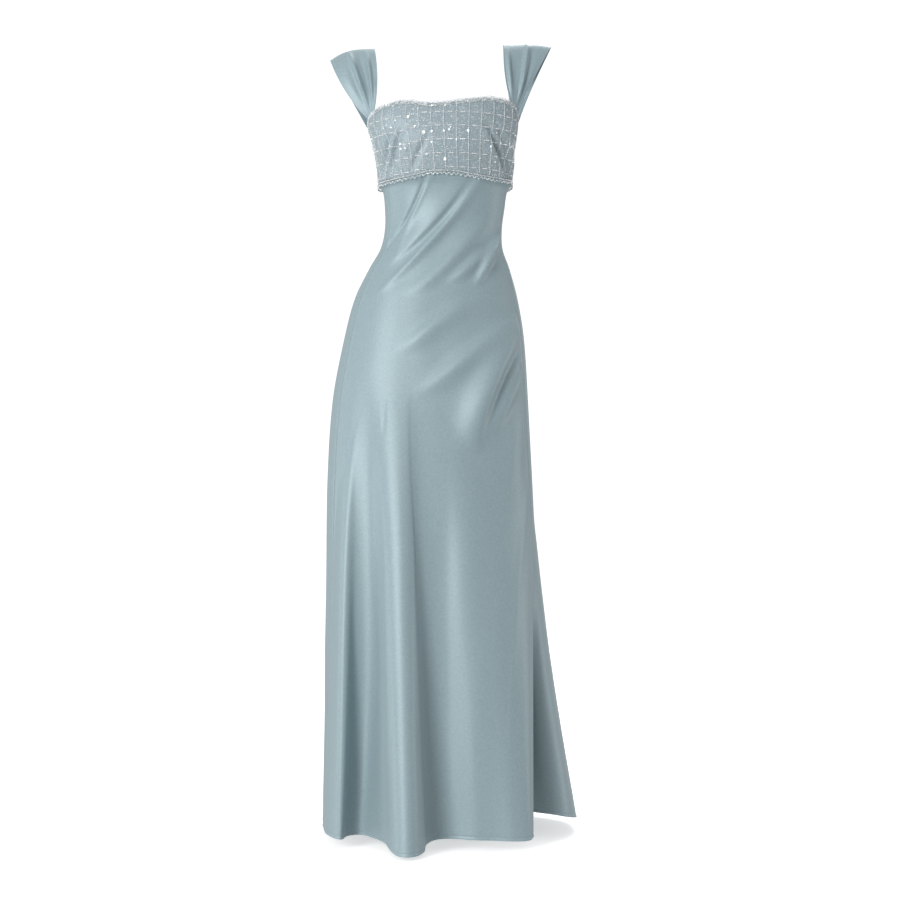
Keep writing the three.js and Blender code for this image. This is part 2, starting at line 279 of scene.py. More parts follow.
# Drag folds of the bias cut: from one place to another, bowed sideways, with a width on each side of the line
# and a height, which is below zero for a trough
FOLD_COLUMNS = "x0 z0 x1 z1 bow left right height"
FRONT_FOLDS = table(
    FOLD_COLUMNS,
    # Across the waist, from under the band down to the hip
    (-26, -236, -134, -415, 18, 3.5, 3.5, -3.6),
    (-8, -240, -88, -412, -7, 5, 5, 1.4),
    (40, -258, -104, -418, 15, 22, 5, 4.6),
    (82, -236, -128, -476, 17, 7, 9, 6.5),
    (80, -322, -52, -472, 11, 16, 14, 8.4),
    (82, -380, 16, -452, 2, 10, 12, 8.4),
    (108, -344, 62, -456, -1, 8, 6, 15),
    # Across the hip, from the slit side down to the middle
    (54, -472, -68, -578, -4, 15, 20, 7.4),
    (150, -490, -32, -654, -2, 16, 22, 11),
    (150, -512, 56, -760, -20, 30, 14, 21),
    (152, -524, 76, -730, 4, 7, 4, 9),
    (158, -540, 88, -726, 4, 7, 8, 12),
    (138, -680, 122, -820, 0, 14, 9, 4.4),
    (151, -590, 132, -860, 1, 3, 5, 1.7),
    # Down the skirt, and on below the hem
    (163, -760, 118, -1300, -10, 3, 6, 2),
    (-174, -660, -184, -2100, 4, 14, 16, 7),
    (-144, -600, -266, -2100, 56, 24, 22, -17),
    (-66, -630, -54, -2100, 0, 28, 16, 8),
    (-103, -640, -107, -734, 0, 4, 5, -1.1),
    (4, -740, 10, -1500, 0, 26, 18, -3.4),
    (30, -720, 19, -2100, 33, 26, 30, 5),
)
BACK_FOLDS = table(
    FOLD_COLUMNS,
    (84, -270, -30, -372, 5, 14, 14, 4),
    (60, -318, -72, -398, 4, 13, 13, -4.5),
    (-84, -296, 10, -412, -5, 14, 15, 4),
    (104, -430, 20, -560, -6, 15, 17, 5),
    (-128, -470, -60, -640, 6, 16, 18, 5),
    (70, -262, -20, -344, 4, 4, 6, -2.2),
    (-70, -270, 0, -352, -4, 5, 4, -1.8),
    (40, -350, -54, -414, 3, 5, 6, 1.8),
    (-100, -330, -40, -420, -3, 5, 6, 1.8),
    (130, -520, 60, -690, -8, 5, 5, 1.8),
    (-150, -560, -96, -760, 6, 5, 5, 1.6),
    (-60, -620, -84, -1140, 6, 10, 10, -2.6),
    (60, -680, 44, -1240, -5, 10, 9, -2.6),
    (196, -920, 226, -1380, -3, 34, 34, -3.5),
)
BAND_FRONT_FOLDS = table(
    FOLD_COLUMNS,
    (76, -156, 122, -272, 3, 5, 4, -8.5),
    (64, -160, 106, -262, 4, 7, 5, 3.4),
    (100, -148, 133, -256, 3, 6, 6, 3),
    (92, -150, 112, -214, 2, 4, 4, -4),
    (108, -196, 126, -270, 0, 4, 4, -5),
    (-70, -164, -100, -272, -2, 6, 5, -6.4),
    (-58, -186, -86, -262, -2, 7, 6, 1.8),
    (-90, -168, -112, -270, -2, 5, 4, -7.5),
    (-82, -164, -104, -260, -2, 5, 5, 1.8),
    (-24, -184, -58, -256, -3, 5, 5, -3.8),
    (-104, -140, -118, -240, -2, 4, 4, 1.6),
)
BAND_BACK_FOLDS = table(
    FOLD_COLUMNS,
    (74, -176, 106, -252, 3, 5, 5, -3),
    (62, -180, 92, -252, 3, 6, 5, 1.8),
    (-80, -170, -108, -250, -3, 5, 5, -3),
    (-66, -180, -92, -250, -2, 6, 5, 1.8),
)

# Halves of the band, between its side seams, in degrees
HALVES = {
    "front": {"start": 180 + SEAM_ANGLE, "middle": 270, "end": 360 - SEAM_ANGLE, "folds": BAND_FRONT_FOLDS},
    "back": {"start": SEAM_ANGLE, "middle": 90, "end": 180 - SEAM_ANGLE, "folds": BAND_BACK_FOLDS},
}

# Skirt panels: lines, folds, columns of the grid, flat size and area of the cut in metres, seed of the ripple
PANELS = (
    ("front", FRONT_LINES, FRONT_FOLDS, 196, (0.62, 1.22), 0.52, 212),
    ("back", BACK_LINES, BACK_FOLDS, 132, (0.86, 1.2), 0.68, 148),
)

# Rows of the skirt's grid, closest at the hem: two shares of the height, and the rows from one to the other
SKIRT_ROWS = ((0, 0.262, 90), (0.262, 0.987, 126), (0.987, 1, 15))

# The straps: the crest from the neck side out, then for each end the angles on the band between which it is
# gathered, and for its inner and outer edge how fast the edge swings to the crest and how far it bows
END_COLUMNS = "inner outer inner_swing outer_swing inner_bow outer_bow"
GATHER_COLUMNS = "seam crest spread height reach"
STRAPS = {
    "strap_left": {
        "crest": ((-126, -8), (-147, -8.5), (-167, -10.5), (-187, -16.5), (-208, -29)),
        "front": table(END_COLUMNS, (214, 202, 2, 0.85, 5.4, -6))[0],
        "back": table(END_COLUMNS, (152, 161, 2, 1, 2, 0))[0],
        "gathers": table(
            GATHER_COLUMNS,
            (0.08, 0.06, 0.04, 1.4, 0.5),
            (0.26, 0.2, 0.05, -5.4, 0.8),
            (0.44, 0.4, 0.08, 3.6, 0.9),
            (0.62, 0.6, 0.05, -7, 0.9),
            (0.74, 0.7, 0.06, 1.2, 0.7),
            (0.86, 0.84, 0.05, -0.9, 0.5),
        ),
    },
    "strap_right": {
        "crest": ((111, 1), (132, 1), (155, 1.5), (178, 0.5), (200, -3)),
        "front": table(END_COLUMNS, (329, 340, 0.6, 1, -4, 0.5))[0],
        "back": table(END_COLUMNS, (27, 18, 1, 1.15, 0, -1.5))[0],
        "gathers": table(
            GATHER_COLUMNS,
            (0.05, 0.03, 0.04, 1.2, 0.5),
            (0.16, 0.08, 0.05, -4.4, 0.75),
            (0.36, 0.28, 0.09, 1, 0.6),
            (0.6, 0.5, 0.05, -6.4, 0.98),
            (0.74, 0.64, 0.06, 1.6, 0.8),
            (0.88, 0.8, 0.06, -0.9, 0.6),
        ),
    },
}

# The bead grid: heights of its rows at the middle of the front, and how far a row sags towards the sides
BEAD_ROWS = (-145.5, -170.5, -195, -219, -243)
ROW_SAG = table(
    "angle sag",
    (180, -9),
    (215, -12),
    (238, -8),
    (258, -1),
    (290, 0),
    (320, -3),
    (360, -6),
)

# The sequins that catch the light in front: place and diameter
BRIGHT_SEQUINS = table(
    "x z size",
    (-34, -184, 7.5),
    (-62, -155, 6),
    (4, -230, 6),
    (45, -180, 5.5),
    (2, -181, 4.8),
    (-20, -182, 4.4),
    (-50, -172, 3.8),
    (-20, -134, 3.8),
    (4, -134, 3.8),
    (-76, -202, 4),
    (-29, -221, 4.2),
    (45, -124, 4),
    (-66, -210, 3.4),
    (24, -196, 3.4),
    (66, -227, 3.6),
    (84, -206, 3.4),
)

# Axes of a sequin that faces halfway between the camera and the main light
LIGHT_TURN = Matrix.Rotation(math.radians(-17), 3, "Z")
LIGHT_TILT = Matrix.Rotation(math.radians(83), 3, "X")
TOWARDS_LIGHT = np.array(LIGHT_TURN @ LIGHT_TILT).T

# Rows of the edging on the band's top: how far under the edge, and how far out
EDGING_ROWS = ((0.6, 0.9), (2.6, 1.4), (4.6, 1.5), (6.6, 1.0))
EDGING_SCALES = (0.75, 1.1)

# Beads of a picot: place as a share of the distance between picots, height over the edge, and scale
PICOT_BEADS = ((-0.26, 1.6, 0.7), (0.0, 3.0, 0.85), (0.26, 1.6, 0.7))
PICOT_STEP = 6.2
PICOT_LIFT = 0.4

# Bead materials: the deeper and the lighter tone as sRGB hex, the roughness, and the share of metal
BEAD_TONES = {
    "silver_lined_bugle_beads": ("#dde4e7", "#fbfcfc", 0.25, 0.15),
    "silver_seed_beads": ("#a3b0b6", "#e9eef0", 0.3, 0.15),
    "silver_sequin_foil": ("#eef3f4", "#ffffff", 0.3, 0.6),
    "pearl_edging_beads": ("#b3bfc4", "#ffffff", 0.3, 0.05),
    # Painted shadow: dark grey tones for the bead line that stands for the shade under the band's foot
    "painted_shadow_grey": ("#5f686b", "#7a8487", 0.6, 0.0),
}

# Soft lights: place, width and height in metres, and power in watts
LAMPS = (
    ("key_softbox", (-2.9, -4.1, 0.3), 2.0, 3.4, 196),
    ("left_softbox", (-4.2, 0.3, -1.2), 1.6, 3.0, 28),
    ("right_softbox", (4.2, 0.5, -0.7), 1.6, 3.0, 38),
    ("back_softbox", (0.8, 2.2, 2.6), 2.0, 2.0, 85),
    ("top_softbox", (0.0, 0.2, 2.6), 2.6, 2.6, 8),
)


# Shapes of the form, on arrays of shares and angles


def smooth_share(value, low, high):
    share = np.clip((value - low) / (high - low), 0, 1)
    return share * share * (3 - 2 * share)


def mix(low, high, share):
    return low + (high - low) * share


def column_at(rows, key, name, place):
    """One column of a table, on a smooth curve through its rows, at values of the key that orders them."""
    keys = np.array([row[key] for row in rows], float)
    values = np.array([row[name] for row in rows], float)
    slopes = np.empty_like(values)
    slopes[1:-1] = (values[2:] - values[:-2]) / (keys[2:] - keys[:-2])
    slopes[0] = (values[1] - values[0]) / (keys[1] - keys[0])
    slopes[-1] = (values[-1] - values[-2]) / (keys[-1] - keys[-2])
    order = np.sign(keys[1] - keys[0])
    found = np.searchsorted(keys * order, np.asarray(place, float) * order, side="right")
    after = np.clip(found, 1, len(keys) - 1)
    before = after - 1
    step = keys[after] - keys[before]
    t = np.clip((place - keys[before]) / step, 0, 1)
    from_before = values[before] * (1 + 2 * t) * (1 - t) ** 2 + slopes[before] * step * t * (1 - t) ** 2
    from_after = values[after] * t * t * (3 - 2 * t) + slopes[after] * step * t * t * (t - 1)
    return from_before + from_after


def tube(angle, z):
    """Points of the worn tube at angles in degrees and heights, as an array with a last axis of 3."""
    angle, z = np.broadcast_arrays(np.asarray(angle, float), np.asarray(z, float))
    cosine = np.cos(np.radians(angle))
    sine = np.sin(np.radians(angle))
    names = ("left", "right", "front", "back", "square")
    left, right, front, back, square = (column_at(LEVELS, "z", name, z) for name in names)
    size = (np.abs(cosine) ** square + np.abs(sine) ** square) ** (-1 / square)
    x = (left + right) / 2 + (right - left) / 2 * size * cosine
    y = (front + back) / 2 + (back - front) / 2 * size * sine
    return np.stack([x, y, z], axis=-1)


def band_top(angle):
    return column_at(BAND_EDGES, "angle", "top", np.mod(angle, 360))


def band_foot(angle):
    return column_at(BAND_EDGES, "angle", "foot", np.mod(angle, 360))


def curve_point(points, t, centripetal=True):
    """A point of a smooth curve through points, at t from 0 to 1 with equal steps from point to point."""
    points = np.asarray(points, float)
    place = t * (len(points) - 1)
    index = min(int(place), len(points) - 2)
    weight = place - index
    p1, p2 = points[index], points[index + 1]
    p0 = points[index - 1] if index > 0 else 2 * points[0] - points[1]
    p3 = points[index + 2] if index + 2 < len(points) else 2 * points[-1] - points[-2]
    if centripetal:
        d0, d1, d2 = (math.sqrt(np.linalg.norm(b - a)) for a, b in ((p0, p1), (p1, p2), (p2, p3)))
        start = ((p1 - p0) / d0 - (p2 - p0) / (d0 + d1) + (p2 - p1) / d1) * d1
        end = ((p2 - p1) / d1 - (p3 - p1) / (d1 + d2) + (p3 - p2) / d2) * d1
    else:
        start = (p2 - p0) / 2
        end = (p3 - p1) / 2
    square = weight * weight
    cube = square * weight
    return (
        p1 * (2 * cube - 3 * square + 1)
        + start * (cube - 2 * square + weight)
        + p2 * (3 * square - 2 * cube)
        + end * (cube - square)
    )


def run_lengths(points, axis=0):
    """How far a path through points has run at each of them, along one axis of their grid."""
    steps = np.linalg.norm(np.diff(points, axis=axis), axis=-1)
    start = np.zeros_like(np.take(steps, [0], axis=axis))
    return np.concatenate([start, np.cumsum(steps, axis=axis)], axis=axis)


def even_places(points, shares):
    """The values of t at which a curve through points has run the given shares of its length."""
    steps = np.linspace(0, 1, LENGTH_STEPS + 1)
    lengths = run_lengths(np.array([curve_point(points, step) for step in steps]))
    return np.interp(np.asarray(shares) * lengths[-1], lengths, steps)


def skirt_points(lines, across, down):
    """Points of a skirt panel: its lines follow the tube, and then swing to their places on the hem."""
    hem = [(line["x"], line["y"], line["z"]) for line in lines]
    course = [(line["angle"], line["leaves"]) for line in lines]
    places = even_places(hem, mix(SEAM_SHARE, 1 - SEAM_SHARE, across))
    foot = np.array([curve_point(hem, place) for place in places])
    angle, leaves = np.array([curve_point(course, place, centripetal=False) for place in places]).T
    z = mix(band_foot(angle) - SEAM_GAP, foot[:, 2], down[:, None])
    share = np.clip((leaves - z) / (leaves - foot[:, 2]), 0, 1) ** FLARE_CURVE
    points = tube(angle[None, :], z)
    points[..., :2] = mix(points[..., :2], foot[None, :, :2], share[..., None])
    return points


def band_points(start, end, across, down):
    angle = mix(start, end, across)
    return tube(angle[None, :], mix(band_top(angle), band_foot(angle), down[:, None]))


def strap_points(strap, across, along):
    """Points of a strap, from its front gather over the shoulder to its back gather, neck side first."""
    crest = np.array([curve_point([(x, 0, z) for x, z in strap["crest"]], share) for share in across])
    rows = []
    for step in along:
        end = strap["front"] if step < 0.5 else strap["back"]
        angle = mix(end["inner"], end["outer"], across)
        seam = tube(angle, band_top(angle))
        rise = math.sin(math.pi * step)
        turn = abs(math.cos(math.pi * step))
        swing = rise ** mix(end["inner_swing"], end["outer_swing"], across)
        bow = mix(end["inner_bow"], end["outer_bow"], across) * 4 * rise * (1 - rise)
        x = mix(seam[:, 0], crest[:, 0], swing) + bow
        y = seam[:, 1] * turn**STRAP_ARCH
        z = mix(seam[:, 2] + SEAM_GAP, crest[:, 2], rise)
        rows.append(np.stack([x, y, z], axis=-1))
    return np.array(rows)


def fold_height(folds, points):
    """Height of all folds at points of a panel: soft ridges and troughs that fade at their ends."""
    x, z = points[..., 0], points[..., 2]
    height = np.zeros(x.shape)
    for fold in folds:
        t = np.clip((fold["z0"] - z) / (fold["z0"] - fold["z1"]), 0, 1)
        line_x = mix(fold["x0"], fold["x1"], t) + fold["bow"] * 4 * t * (1 - t)
        slant = abs(fold["z1"] - fold["z0"]) / math.hypot(fold["x1"] - fold["x0"], fold["z1"] - fold["z0"])
        away = (x - line_x) * slant
        spread = np.where(away < 0, fold["left"], fold["right"])
        height += fold["height"] * np.exp(-((away / spread) ** 2)) * np.sin(math.pi * t)
    return height


def gather_height(gathers, across, along):
    """Height of all gathers of a strap, each from its place at the seam towards its place at the crest."""
    from_seam = np.minimum(along, 1 - along)[:, None] * 2
    height = np.zeros((len(along), len(across)))
    for gather in gathers:
        away = across - mix(gather["seam"], gather["crest"], from_seam)
        fade = 1 - smooth_share(from_seam, gather["reach"] * 0.5, gather["reach"])
        height += gather["height"] * fade * np.exp(-((away / gather["spread"]) ** 2))
    return height * mix(GATHER_AT_SEAM, 1, smooth_share(from_seam, 0, GATHER_RISE))


def edge_fade(across):
    return smooth_share(np.minimum(across, 1 - across), 0, FADE_AT_EDGE)


def sewn_edges(points, hem_depth):
    """Relief of the sewing on a panel: a stitched hem, and a seam pressed into a soft ridge at each side."""
    reach = run_lengths(points, axis=1)
    from_side = np.minimum(reach, reach[:, -1:] - reach)
    from_foot = points[..., 2] - points[-1:, :, 2]
    seam = RIDGE_HEIGHT * np.exp(-(((from_side - RIDGE_PLACE) / RIDGE_SPREAD) ** 2))
    stitches = -STITCH_DEPTH * np.exp(-(((from_foot - hem_depth) / STITCH_SPREAD) ** 2))
    turned = HEM_TURN * (1 - smooth_share(from_foot, hem_depth - 1, hem_depth + 1))
    return seam + stitches + turned


def outward(points):
    """Unit normals of a grid of points. Its rows go down, its columns round to the viewer's right."""
    down = np.gradient(points, axis=0)
    across = np.gradient(points, axis=1)
    normal = np.cross(down, across)
    return normal / np.linalg.norm(normal, axis=-1, keepdims=True)


def ripple(points, seed):
    """Gentle unevenness of hanging cloth: soft noise, drawn out along the height."""
    flat = points.reshape(-1, 3) / np.array([RIPPLE_SIZE, RIPPLE_SIZE, RIPPLE_SIZE * RIPPLE_STRETCH])
    values = [noise.noise(Vector(place) + Vector((seed, 0, 0))) for place in flat]
    return np.array(values).reshape(points.shape[:-1]) * RIPPLE_HEIGHT


# Materials


def linear(hex_colour):
    """A colour written as sRGB hex, as linear values with alpha."""
    channels = [int(hex_colour[i : i + 2], 16) / 255 for i in (1, 3, 5)]
    return tuple(c / 12.92 if c <= 0.04045 else ((c + 0.055) / 1.055) ** 2.4 for c in channels) + (1.0,)


def add_node(material, kind, inputs=None, **settings):
    """Adds a node; an input is given a value, or is linked where it is given another node's output."""
    node = material.node_tree.nodes.new(kind)
    for name, value in settings.items():
        setattr(node, name, value)
    for name, value in (inputs or {}).items():
        if isinstance(value, bpy.types.NodeSocket):
            material.node_tree.links.new(value, node.inputs[name])
        else:
            node.inputs[name].default_value = value
    return node


def new_material(name):
    material = bpy.data.materials.new(name)
    material.use_nodes = True
    material.node_tree.nodes.clear()
    return material


def finish_material(material, inputs):
    shader = add_node(material, "ShaderNodeBsdfPrincipled", inputs)
    add_node(material, "ShaderNodeOutputMaterial", {"Surface": shader.outputs["BSDF"]})
    return material


def blend_colours(material, factor, first, second):
    node = add_node(material, "ShaderNodeMix", data_type="RGBA")
    material.node_tree.links.new(factor, node.inputs[0])
    for slot, value in ((6, first), (7, second)):
        if isinstance(value, bpy.types.NodeSocket):
            material.node_tree.links.new(value, node.inputs[slot])
        else:
            node.inputs[slot].default_value = value
    return node.outputs[2]


def satin_material(colours):
    """Polyester satin on the bias: long floats of bright yarn give a smooth, soft and broad shine."""
    material = new_material("polyester_satin")
    places = add_node(material, "ShaderNodeTexCoord").outputs
    # The threads are 0.3 mm apart, drawn at 1.6 mm so that they show close to, and lie at 45 degrees
    bias = add_node(
        material,
        "ShaderNodeMapping",
        {"Vector": places["UV"], "Rotation": (0, 0, math.radians(45))},
    )
    thread = add_node(
        material,
        "ShaderNodeTexNoise",
        {"Vector": bias.outputs[0], "Scale": 1 / (1.6 * MM), "Detail": 2.0, "Roughness": 0.6},
    )
    # Slubs in the yarn give the satin a fine unevenness of tone
    cloud = add_node(
        material,
        "ShaderNodeTexNoise",
        {"Vector": places["Object"], "Scale": 1 / (3.5 * MM), "Detail": 5.0},
    )
    tone = blend_colours(material, cloud.outputs[0], linear(colours.satin_deep), linear(colours.satin_light))
    relief = add_node(
        material,
        "ShaderNodeBump",
        {"Height": thread.outputs[0], "Strength": 0.3, "Distance": 0.15 * MM},
    )
    return finish_material(
        material,
        {
            "Base Color": tone,
            "Metallic": 0.1,
            "Roughness": 0.48,
            "IOR": 1.5,
            "Sheen Weight": 0.15,
            "Sheen Roughness": 0.45,
            "Normal": relief.outputs[0],
        },
    )


def net_material(colours):
    """Net sewn all over with tiny glass beads, on satin: a grainy grey-blue ground full of small glints."""
    material = new_material("beaded_net")
    uv = add_node(material, "ShaderNodeTexCoord").outputs["UV"]
    grains = add_node(material, "ShaderNodeTexVoronoi", {"Vector": uv, "Scale": 1 / (2.4 * MM)})
    shade = add_node(material, "ShaderNodeTexNoise", {"Vector": uv, "Scale": 1 / (9 * MM), "Detail": 5.0})
    ground = blend_colours(material, shade.outputs[0], linear(colours.net_deep), linear(colours.net_light))
    dot = add_node(
        material,
        "ShaderNodeMapRange",
        {
            "Value": grains.outputs["Distance"],
            "From Min": 0.2,
            "From Max": 0.45,
            "To Min": 1.0,
            "To Max": 0.0,
        },
    )
    # About half of the grains hold a bead
    chosen = add_node(
        material,
        "ShaderNodeMapRange",
        {"Value": grains.outputs["Color"], "From Min": 0.45, "From Max": 0.7},
    )
    sparkle = add_node(material, "ShaderNodeMath", operation="MULTIPLY")
    material.node_tree.links.new(dot.outputs[0], sparkle.inputs[0])
    material.node_tree.links.new(chosen.outputs[0], sparkle.inputs[1])
    tone = blend_colours(material, sparkle.outputs[0], ground, linear(colours.bead))
    relief = add_node(
        material,
        "ShaderNodeBump",
        {"Height": dot.outputs[0], "Strength": 0.4, "Distance": 0.5 * MM},
    )
    return finish_material(
        material,
        {"Base Color": tone, "Roughness": 0.52, "Metallic": 0.1, "Normal": relief.outputs[0]},
    )


def bead_material(name):
    """Glass over foil, pearl, or bare foil: each bead holds a small hard highlight. The dark grey beads of the
    painted shadow line are dull.
    """
    deep, light, roughness, metallic = BEAD_TONES[name]
    material = new_material(name)
    place = add_node(material, "ShaderNodeTexCoord").outputs["Object"]
    # The beads differ in tone from one to the next, which makes rows of them look speckled
    shade = add_node(
        material,
        "ShaderNodeTexNoise",
        {"Vector": place, "Scale": 1 / (3.2 * MM), "Detail": 1.0},
    )
    choice = add_node(
        material,
        "ShaderNodeMapRange",
        {"Value": shade.outputs[0], "From Min": 0.38, "From Max": 0.62},
    )
    tone = blend_colours(material, choice.outputs[0], linear(deep), linear(light))
    return finish_material(
        material,
        {"Base Color": tone, "Roughness": roughness, "Metallic": metallic, "Coat Weight": 0.6},
    )


def paper_material():
    """Matt white paper, lit through from behind: it glows a little, so it stays white to its far edge."""
    material = new_material("studio_paper")
    place = add_node(material, "ShaderNodeTexCoord").outputs["Object"]
    fibre = add_node(material, "ShaderNodeTexNoise", {"Vector": place, "Scale": 4.0, "Detail": 3.0})
    tone = blend_colours(material, fibre.outputs[0], linear("#f4f4f4"), linear("#f7f7f7"))
    return finish_material(
        material,
        {"Base Color": tone, "Roughness": 0.95, "Emission Color": tone, "Emission Strength": 0.6},
    )


# Sizes and colours that a user would change


class GownClothSettings(bpy.types.PropertyGroup):
    """Thicknesses and tones of the cloth"""

    satin_wall: bpy.props.FloatProperty(
        name="Satin thickness",
        description="Thickness of the satin with its turned edges",
        default=0.9 * MM,
        min=0.3 * MM,
        unit="LENGTH",
    )
    band_wall: bpy.props.FloatProperty(
        name="Band thickness",
        description="Thickness of the beaded net on its satin backing",
        default=1.6 * MM,
        min=0.5 * MM,
        unit="LENGTH",
    )
    hem_depth: bpy.props.FloatProperty(
        name="Hem depth",
        description="Height of the hem's stitch line over the edge",
        default=5 * MM,
        unit="LENGTH",
    )
    satin_deep: bpy.props.StringProperty(
        name="Satin, deep",
        description="The satin's deeper tone, as sRGB hex",
        default="#83979d",
    )
    satin_light: bpy.props.StringProperty(
        name="Satin, light",
        description="The satin's lighter tone, as sRGB hex",
        default="#9bafb5",
    )
    net_deep: bpy.props.StringProperty(
        name="Net, deep",
        description="The net's deeper tone, as sRGB hex",
        default="#8a9aa0",
    )
    net_light: bpy.props.StringProperty(
        name="Net, light",
        description="The net's lighter tone, as sRGB hex",
        default="#9dadb3",
    )
    bead: bpy.props.StringProperty(
        name="Beads",
        description="Colour of the small beads, as sRGB hex",
        default="#d3dbde",
    )


class GownBeadSettings(bpy.types.PropertyGroup):
    """Sizes and spacings of the beads"""

    grid_across: bpy.props.FloatProperty(
        name="Line spacing",
        description="Distance from one upright bead line to the next",
        default=21.5 * MM,
        unit="LENGTH",
    )
    line_bead: bpy.props.FloatProperty(
        name="Line bead",
        description="Length of one bead of the grid",
        default=3.0 * MM,
        unit="LENGTH",
    )
    seed_bead: bpy.props.FloatProperty(
        name="Seed bead",
        description="Diameter of the tiny beads between the lines",
        default=1.5 * MM,
        unit="LENGTH",
    )
    sequin: bpy.props.FloatProperty(
        name="Sequin",
        description="Diameter of a sequin",
        default=4.2 * MM,
        unit="LENGTH",
    )
    edging_bead: bpy.props.FloatProperty(
        name="Edging bead",
        description="Diameter of the beads of the two edgings",
        default=2.6 * MM,
        unit="LENGTH",
    )
    scallop: bpy.props.FloatProperty(
        name="Scallop width",
        description="Distance from one scallop under the band to the next",
        default=8.2 * MM,
        unit="LENGTH",
    )


class GownStageSettings(bpy.types.PropertyGroup):
    """Place and lens of the camera, and height of the floor"""

    distance: bpy.props.FloatProperty(
        name="Camera distance",
        description="Distance from the camera to the middle of the gown",
        default=3.2,
        unit="LENGTH",
    )
    eye_height: bpy.props.FloatProperty(
        name="Camera height",
        description="Height of the camera from the shoulders, which are at zero",
        default=-0.803,
        unit="LENGTH",
    )
    lens: bpy.props.FloatProperty(
        name="Lens",
        description="Focal length on a 36 mm wide frame",
        default=69.2,
        unit="CAMERA",
    )
    floor_drop: bpy.props.FloatProperty(
        name="Floor under the hem",
        description="Gap from the lowest point of the hem to the floor",
        default=6 * MM,
        unit="LENGTH",
    )


# Making meshes


def deselect_all():
    if bpy.context.object and bpy.context.object.mode != "OBJECT":
        bpy.ops.object.mode_set(mode="OBJECT")
    bpy.ops.object.select_all(action="DESELECT")


def take_new(name):
    """Names the object that an operator has just added."""
    piece = bpy.context.object
    piece.name = name
    piece.data.name = name
    return piece


def finish_piece(piece, material, slot, *nodes):
    piece.data.materials.clear()
    piece.data.materials.append(material)
    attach(piece, BODY)
    if nodes:
        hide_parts(*nodes)
    return piece


def lay_grid(mesh, points):
    """Moves the vertices of a flat grid to a grid of points, and maps each by its own lengths of cloth."""
    rows, columns = points.shape[:2]
    start = np.empty(len(mesh.vertices) * 3)
    mesh.vertices.foreach_get("co", start)
    start = start.reshape(-1, 3)
    column = np.rint((start[:, 0] + 1) / 2 * (columns - 1)).astype(int)
    row = np.rint((1 - start[:, 1]) / 2 * (rows - 1)).astype(int)
    mesh.vertices.foreach_set("co", (points[row, column] * MM).ravel())
    lengths = run_lengths(points, axis=1)
    lengths -= lengths[:, columns // 2][:, None]
    falls = run_lengths(points)
    falls -= falls[-1][None, :]
    corner = np.empty(len(mesh.loops), int)
    mesh.loops.foreach_get("vertex_index", corner)
    flat = np.stack([lengths[row, column][corner], -falls[row, column][corner]], axis=-1) * MM
    mesh.uv_layers.active.data.foreach_set("uv", flat.ravel())
    mesh.update()


def cloth_from_grid(name, points, wall, flip=False):
    """A thin shell of cloth whose outer face runs through a grid of points."""
    rows, columns = points.shape[:2]
    deselect_all()
    bpy.ops.mesh.primitive_grid_add(
        x_subdivisions=columns - 1,
        y_subdivisions=rows - 1,
        size=2,
        calc_uvs=True,
    )
    piece = take_new(name)
    lay_grid(piece.data, points)
    if flip:
        bpy.ops.object.mode_set(mode="EDIT")
        bpy.ops.mesh.select_all(action="SELECT")
        bpy.ops.mesh.flip_normals()
        bpy.ops.object.mode_set(mode="OBJECT")
    shell = piece.modifiers.new("Cloth thickness", "SOLIDIFY")
    shell.thickness = wall
    shell.offset = -1
    bpy.ops.object.modifier_apply(modifier=shell.name)
    bpy.ops.object.shade_smooth_by_angle(angle=math.radians(SMOOTH_ANGLE))
    return piece


def in_order(vertices, faces):
    """The same vertices and faces, listed in an order that is the same on every run."""
    order = np.lexsort(np.round(vertices, 5).T)
    rank = np.argsort(order).tolist()
    faces = [[rank[index] for index in face] for face in faces]
    firsts = [face.index(min(face)) for face in faces]
    return vertices[order], sorted(tuple(face[at:] + face[:at]) for face, at in zip(faces, firsts))


def bead_shape(kind):
    """Vertices and faces of one bead of size 1: round, long, or a flat sequin with a sunk middle."""
    deselect_all()
    if kind == "sequin":
        bpy.ops.mesh.primitive_circle_add(vertices=8, radius=0.5, fill_type="TRIFAN")
    else:
        bpy.ops.mesh.primitive_uv_sphere_add(segments=6, ring_count=4, radius=0.5)
    sample = bpy.context.object
    vertices = np.array([vertex.co[:] for vertex in sample.data.vertices])
    faces = [tuple(face.vertices) for face in sample.data.polygons]
    bpy.data.objects.remove(sample)
    if kind == "sequin":
        middle = np.linalg.norm(vertices[:, :2], axis=1) < 0.1
        vertices[middle, 2] -= SEQUIN_DIP
    return in_order(vertices, faces)


def string_of(name, kind, places):
    """One mesh of many beads. A place is a point in metres, three unit axes, and a size along each."""
    vertices, faces = bead_shape(kind)
    centres, axes, sizes = (np.array(column) for column in zip(*places))
    every = np.einsum("vi,nij->nvj", vertices, axes * sizes[..., None]) + centres[:, None, :]
    count = len(vertices)
    every_face = [
        tuple(index + count * bead for index in face) for bead in range(len(places)) for face in faces
    ]
    mesh = bpy.data.meshes.new(name)
    mesh.from_pydata(every.reshape(-1, 3).tolist(), [], every_face)
    piece = bpy.data.objects.new(name, mesh)
    bpy.context.collection.objects.link(piece)
    mesh.update()
    return piece


def bead_places(points, axes, sizes):
    """Places for a string of beads, with sizes in metres: one for all, one an axis, or a row for each bead."""
    return list(zip(points, axes, np.broadcast_to(sizes, (len(points), 3))))


def band_frame(angle, z, lift, folds):
    """Places on the band: a point in metres, with its axes round the band, up, and out."""
    step = 0.5
    round_it = tube(angle + step, z) - tube(angle - step, z)
    upwards = tube(angle, z + step) - tube(angle, z - step)
    out = np.cross(round_it, upwards)
    round_it, upwards, out = (v / np.linalg.norm(v, axis=-1, keepdims=True) for v in (round_it, upwards, out))
    base = tube(angle, z)
    points = base + out * (fold_height(folds, base) + lift)[..., None]
    return points * MM, np.stack([round_it, upwards, out], axis=-2)


